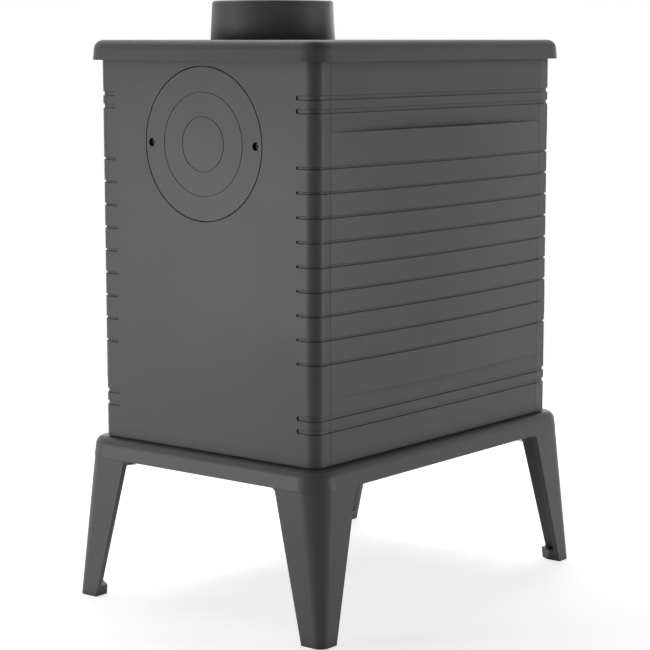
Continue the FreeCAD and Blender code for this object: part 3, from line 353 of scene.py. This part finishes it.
def ceramic_glass():
    """Clear ceramic glass with a faint uneven haze of smoke."""
    material, tree, shader = new_material("ceramic_glass")
    haze = noise(tree, object_coordinates(tree), scale=7, detail=4)
    tree.links.new(two_colours(tree, haze, (0.86, 0.85, 0.82), (0.97, 0.965, 0.95)),
                   shader.inputs["Base Color"])
    shader.inputs["Transmission Weight"].default_value = 1.0
    shader.inputs["IOR"].default_value = 1.5
    tree.links.new(spread(tree, haze, 0.01, 0.05), shader.inputs["Roughness"])
    return material


def glass_rope():
    """Graphite-grey braided glass-fibre rope and tape."""
    material, tree, shader = new_material("glass_rope")
    place = object_coordinates(tree)
    fibres = noise(tree, place, scale=2600, detail=3, roughness=0.7)
    clouds = noise(tree, place, scale=40, detail=3)
    low, high = greys(0.10, 0.3)
    tree.links.new(two_colours(tree, clouds, low, high), shader.inputs["Base Color"])
    shader.inputs["Roughness"].default_value = 0.95
    shader.inputs["Sheen Weight"].default_value = 0.25
    tree.links.new(bump(tree, fibres, distance=0.0002), shader.inputs["Normal"])
    return material


def make_materials():
    """Material of every slot of the record, by the slot's name."""
    return {
        "body_iron": painted_iron("painted_iron", PAINT_GREY),
        "cover_iron": painted_iron("painted_cover", COVER_GREY, grain=0.00004, edge=0.0004),
        "black_screw": black_steel(),
        "steel": bright_steel("zinc_steel", (0.55, 0.55, 0.56), roughness=0.34),
        "raw_iron": bare_iron(),
        "brick": vermiculite(),
        "glass": ceramic_glass(),
        "rope": glass_rope(),
        "sheet_steel": painted_sheet(),
        "handle_steel": bright_steel("satin_steel", (0.52, 0.52, 0.53), roughness=0.27),
    }


def dress_nodes(materials):
    """Gives every CAD node the material of its slot in the record."""
    for subpart in frame["record"]["subparts"]:
        node = nodes[subpart["node"]]
        node.data.materials.clear()
        node.data.materials.append(materials[subpart["material_slot"]])


# ---------------------------------------------------------------- swept pieces

def sweep(name, sections, closed):
    """Mesh through a list of sections with the same number of points, smooth shaded."""
    sides = len(sections[0])
    points = [point for section in sections for point in section]
    faces = []
    for k in range(len(sections) if closed else len(sections) - 1):
        here, there = k * sides, (k + 1) % len(sections) * sides
        for i in range(sides):
            j = (i + 1) % sides
            faces.append((here + i, here + j, there + j, there + i))
    if not closed:
        faces.append(tuple(range(sides))[::-1])
        faces.append(tuple(range(len(points) - sides, len(points))))
    mesh = bpy.data.meshes.new(name)
    mesh.from_pydata(points, [], faces)
    mesh.polygons.foreach_set("use_smooth", [True] * len(faces))
    return mesh


def joined(name, meshes):
    """One object from several meshes."""
    whole = bmesh.new()
    for mesh in meshes:
        whole.from_mesh(mesh)
    bmesh.ops.recalc_face_normals(whole, faces=whole.faces)
    result = bpy.data.meshes.new(name)
    whole.to_mesh(result)
    whole.free()
    piece = bpy.data.objects.new(name, result)
    bpy.context.scene.collection.objects.link(piece)
    return piece


def full_turn(count):
    """Angles of count even steps round a circle."""
    return [2 * math.pi * k / count for k in range(count)]


def strand(name, centres, outs, thick, wide, sides, closed):
    """Oval strand along a list of centres, thick towards the outward direction at each."""
    count = len(centres)
    sections = []
    for k, (centre, out) in enumerate(zip(centres, outs)):
        before = centres[k - 1] if closed or k else centre
        after = centres[(k + 1) % count] if closed or k < count - 1 else centre
        across = (after - before).normalized().cross(out).normalized()
        sections.append([centre + out * (thick * math.cos(turn)) + across * (wide * math.sin(turn))
                         for turn in full_turn(sides)])
    return sweep(name, sections, closed)


def round_ring(low, high, inset, radius, step):
    """Round-cornered rectangle inside a node's box, level with the middle of its depth.

    Gives the points, the direction that faces outwards at each, and the way run so far.
    """
    middle_y = (low.y + high.y) / 2
    x = (low.x + inset + radius, high.x - inset - radius)
    z = (low.z + inset + radius, high.z - inset - radius)
    corners = [Vector((x[a], middle_y, z[b])) for a, b in ((1, 1), (0, 1), (0, 0), (1, 0))]
    bends = max(3, round(radius * math.pi / 2 / step))
    points, outs = [], []
    for k, corner in enumerate(corners):
        for i in range(bends):
            turn = math.pi / 2 * (k + i / bends)
            outs.append(Vector((math.cos(turn), 0, math.sin(turn))))
            points.append(corner + outs[-1] * radius)
        turn = math.pi / 2 * (k + 1)
        out = Vector((math.cos(turn), 0, math.sin(turn)))
        start = corner + out * radius
        end = corners[(k + 1) % 4] + out * radius
        runs = round((end - start).length / step)
        for i in range(runs):
            outs.append(out)
            points.append(start.lerp(end, i / runs))
    ways = [0.0]
    for before, after in zip(points, points[1:]):
        ways.append(ways[-1] + (after - before).length)
    return points, outs, ways


def rope_strand(points, outs, winds, flat, deep, way_round, number):
    """One strand of the rope, wound over and under those that wind the other way."""
    centres, faces_out = [], []
    for point, out, wind in zip(points, outs, winds):
        angle = way_round * wind + 2 * math.pi * number / SEAL_STRANDS
        lift = way_round * WEAVE_LIFT * math.cos(SEAL_STRANDS * wind) - STRAND_THICK - WEAVE_LIFT
        centres.append(point + out * ((flat + lift) * math.cos(angle))
                       + DEPTH_WAY * ((deep + lift) * math.sin(angle)))
        faces_out.append(out * math.cos(angle) + DEPTH_WAY * math.sin(angle))
    return strand("strand", centres, faces_out, STRAND_THICK, STRAND_WIDE, STRAND_SIDES,
                  closed=True)


def rope_core(points, outs, flat, deep):
    """Oval core that fills the rope behind its strands."""
    sections = [[point + out * ((flat - ROPE_CORE_INSET) * math.cos(turn))
                 + DEPTH_WAY * ((deep - ROPE_CORE_INSET) * math.sin(turn))
                 for turn in full_turn(ROPE_CORE_SIDES)]
                for point, out in list(zip(points, outs))[::ROPE_CORE_EVERY]]
    return sweep("core", sections, closed=True)


def door_rope():
    """Braided rope round the back of the door: strands wound both ways over a core."""
    low, high = [Vector(corner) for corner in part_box("door_seal")]
    flat = SEAL_BAND / 2
    deep = (high.y - low.y) / 2
    step = SEAL_PITCH / STEPS_PER_TURN
    points, outs, ways = round_ring(low, high, flat, SEAL_CORNER - flat, step)
    length = ways[-1] + (points[0] - points[-1]).length
    turns = round(length / SEAL_PITCH)
    winds = [2 * math.pi * turns * way / length for way in ways]
    meshes = [rope_strand(points, outs, winds, flat, deep, way_round, number)
              for way_round in (1, -1) for number in range(SEAL_STRANDS)]
    meshes.append(rope_core(points, outs, flat, deep))
    rope = joined("door_rope", meshes)
    rope.data.materials.append(finishes["rope"])
    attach(rope, "door")
    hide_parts("door_seal")


def gasket_tape():
    """Woven tape between the glass and the door, with a rib at every thread."""
    low, high = [Vector(corner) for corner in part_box("glass_gasket")]
    half_wide = TAPE_BAND / 2
    half_deep = (high.y - low.y) / 2
    points, outs, _ = round_ring(low, high, half_wide, TAPE_CORNER - half_wide, TAPE_THREAD)
    sections = []
    for k, (point, out) in enumerate(zip(points, outs)):
        wide_part, deep_part = TAPE_RIB if k % 2 else TAPE_DIP
        wide = half_wide * wide_part
        deep = half_deep * deep_part
        sections.append([point + out * (wide * a) + DEPTH_WAY * (deep * b)
                         for a, b in TAPE_SECTION])
    tape = joined("gasket_tape", [sweep("tape", sections, closed=True)])
    tape.data.materials.append(finishes["rope"])
    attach(tape, "door")
    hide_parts("glass_gasket")


def glass_pane():
    """Pane of the door with ground edges, cut to stay clear of the handle's turning shaft."""
    low, high = [Vector(corner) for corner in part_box("door_glass")]
    points, outs, _ = round_ring(low, high, PANE_ROOM, PANE_CORNER, PANE_STEP)
    half = (high.y - low.y) / 2
    layers = ((-half, PANE_EDGE), (PANE_EDGE - half, 0), (half - PANE_EDGE, 0), (half, PANE_EDGE))
    sections = [[point - out * inset + DEPTH_WAY * depth for point, out in zip(points, outs)]
                for depth, inset in layers]
    pane = joined("glass_pane", [sweep("pane", sections, closed=False)])
    pane.data.shade_flat()
    pane.data.materials.append(finishes["glass"])
    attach(pane, "door")
    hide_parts("door_glass")


def turned(middle, profile):
    """Closed turned body on the upright axis through middle, from (radius, height) pairs."""
    outs = [Vector((math.cos(turn), math.sin(turn), 0)) for turn in full_turn(TURNED_SIDES)]
    sections = [[Vector((middle.x, middle.y, height)) + out * radius for out in outs]
                for radius, height in profile]
    return sweep("turned", sections, closed=False)


def wound_wire(middle, radius, top, bottom):
    """Wire wound down the upright axis through middle, inside the radius."""
    steps = COIL_TURNS * COIL_STEPS
    wind_radius = radius - COIL_WIRE - COIL_ROOM
    centres, outs = [], []
    for k in range(steps + 1):
        turn = 2 * math.pi * k / COIL_STEPS
        out = Vector((math.cos(turn), math.sin(turn), 0))
        outs.append(out)
        height = top - (top - bottom) * k / steps
        centres.append(Vector((middle.x, middle.y, height)) + out * wind_radius)
    return strand("coil", centres, outs, COIL_WIRE, COIL_WIRE, COIL_SIDES, closed=False)


def coil_grip():
    """Grip of the handle: wire wound round a core, between a collar and a turned tail."""
    low, high = [Vector(corner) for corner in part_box("handle_grip")]
    middle = (low + high) / 2
    radius = (high.x - low.x) / 2
    top = high.z - COLLAR_LENGTH
    bottom = low.z + TAIL_LENGTH
    core_radius = radius - GRIP_CORE_INSET
    coil = wound_wire(middle, radius, top, bottom)
    core = turned(middle, [(core_radius, top + GRIP_CORE_OVERLAP),
                           (core_radius, bottom - GRIP_CORE_OVERLAP)])
    collar = turned(middle, [(radius - inset, high.z - down) for inset, down in COLLAR_PROFILE])
    tail = turned(middle, [(radius - inset, low.z + up) for inset, up in TAIL_PROFILE])
    grip = joined("coil_grip", [coil, core, collar, tail])
    grip.data.materials.append(finishes["handle_steel"])
    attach(grip, "handle")
    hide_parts("handle_grip")


# ---------------------------------------------------------------- studio

def make_camera():
    """Camera that sees the stove as the photograph does."""
    azimuth = math.radians(CAMERA_AZIMUTH)
    elevation = math.radians(CAMERA_ELEVATION)
    back = Vector((math.sin(azimuth) * math.cos(elevation),
                   -math.cos(azimuth) * math.cos(elevation), math.sin(elevation)))
    data = bpy.data.cameras.new("camera")
    data.lens = CAMERA_LENS_MM
    data.sensor_width = SENSOR_MM
    camera = bpy.data.objects.new("camera", data)
    camera.location = CAMERA_PLACE
    camera.rotation_mode = "QUATERNION"
    camera.rotation_quaternion = (-back).to_track_quat("-Z", "Y")
    bpy.context.scene.collection.objects.link(camera)
    bpy.context.scene.camera = camera


def soft_lamp(name, heading, height, distance, width, tall, watts):
    """Area lamp that looks at the stove's middle; see LAMPS for its numbers."""
    angle = math.radians(heading)
    place = Vector((math.sin(angle) * distance, math.cos(angle) * distance, height))
    data = bpy.data.lights.new(name, "AREA")
    data.shape = "RECTANGLE"
    data.size = width
    data.size_y = tall
    data.energy = watts
    lamp = bpy.data.objects.new(name, data)
    lamp.location = place
    lamp.rotation_mode = "QUATERNION"
    lamp.rotation_quaternion = (Vector(LAMP_TARGET) - place).to_track_quat("-Z", "Y")
    bpy.context.scene.collection.objects.link(lamp)


def make_lamps():
    """All the lamps of the studio."""
    for name, numbers in LAMPS.items():
        soft_lamp(name, *numbers)


def seen_directly(tree):
    """1 for rays from the camera, through glass or off a glossy surface, and 0 for the rest."""
    path = tree.nodes.new("ShaderNodeLightPath")
    result = path.outputs["Is Camera Ray"]
    for kind in ("Is Transmission Ray", "Is Glossy Ray"):
        node = tree.nodes.new("ShaderNodeMath")
        node.operation = "MAXIMUM"
        tree.links.new(result, node.inputs[0])
        tree.links.new(path.outputs[kind], node.inputs[1])
        result = node.outputs["Value"]
    return result


def make_world():
    """White for the camera, in glass and in gloss, and a faint grey fill light elsewhere."""
    world = bpy.data.worlds.new("studio")
    bpy.context.scene.world = world
    world.use_nodes = True
    tree = world.node_tree
    tree.nodes.clear()
    output = tree.nodes.new("ShaderNodeOutputWorld")
    mix = tree.nodes.new("ShaderNodeMixShader")
    fill = tree.nodes.new("ShaderNodeBackground")
    fill.inputs["Color"].default_value = (WORLD_GREY, WORLD_GREY, WORLD_GREY, 1)
    white = tree.nodes.new("ShaderNodeBackground")
    white.inputs["Color"].default_value = (1, 1, 1, 1)
    tree.links.new(seen_directly(tree), mix.inputs["Fac"])
    tree.links.new(fill.outputs["Background"], mix.inputs[1])
    tree.links.new(white.outputs["Background"], mix.inputs[2])
    tree.links.new(mix.outputs["Shader"], output.inputs["Surface"])


def pale_floor():
    """Floor material that takes the stove's shadow, and glows where it is seen directly."""
    material = bpy.data.materials.new("pale_floor")
    material.use_nodes = True
    tree = material.node_tree
    tree.nodes.clear()
    output = tree.nodes.new("ShaderNodeOutputMaterial")
    plain = tree.nodes.new("ShaderNodeBsdfDiffuse")
    plain.inputs["Color"].default_value = (FLOOR_GREY, FLOOR_GREY, FLOOR_GREY, 1)
    glow = tree.nodes.new("ShaderNodeEmission")
    level = tree.nodes.new("ShaderNodeMath")
    level.operation = "MULTIPLY"
    level.inputs[1].default_value = FLOOR_GLOW
    both = tree.nodes.new("ShaderNodeAddShader")
    tree.links.new(seen_directly(tree), level.inputs[0])
    tree.links.new(level.outputs["Value"], glow.inputs["Strength"])
    tree.links.new(plain.outputs["BSDF"], both.inputs[0])
    tree.links.new(glow.outputs["Emission"], both.inputs[1])
    tree.links.new(both.outputs["Shader"], output.inputs["Surface"])
    return material


def make_floor():
    """Round pale floor under the stove."""
    mesh = bpy.data.meshes.new("floor")
    rim = [(FLOOR_RADIUS * math.cos(turn), FLOOR_RADIUS * math.sin(turn), 0)
           for turn in full_turn(FLOOR_SIDES)]
    mesh.from_pydata(rim, [], [list(range(FLOOR_SIDES))])
    floor = bpy.data.objects.new("floor", mesh)
    bpy.context.scene.collection.objects.link(floor)
    mesh.materials.append(pale_floor())


bpy.context.scene.view_settings.view_transform = "Standard"
finishes = make_materials()
dress_nodes(finishes)
door_rope()
gasket_tape()
glass_pane()
coil_grip()
make_camera()
make_lamps()
make_world()
make_floor()
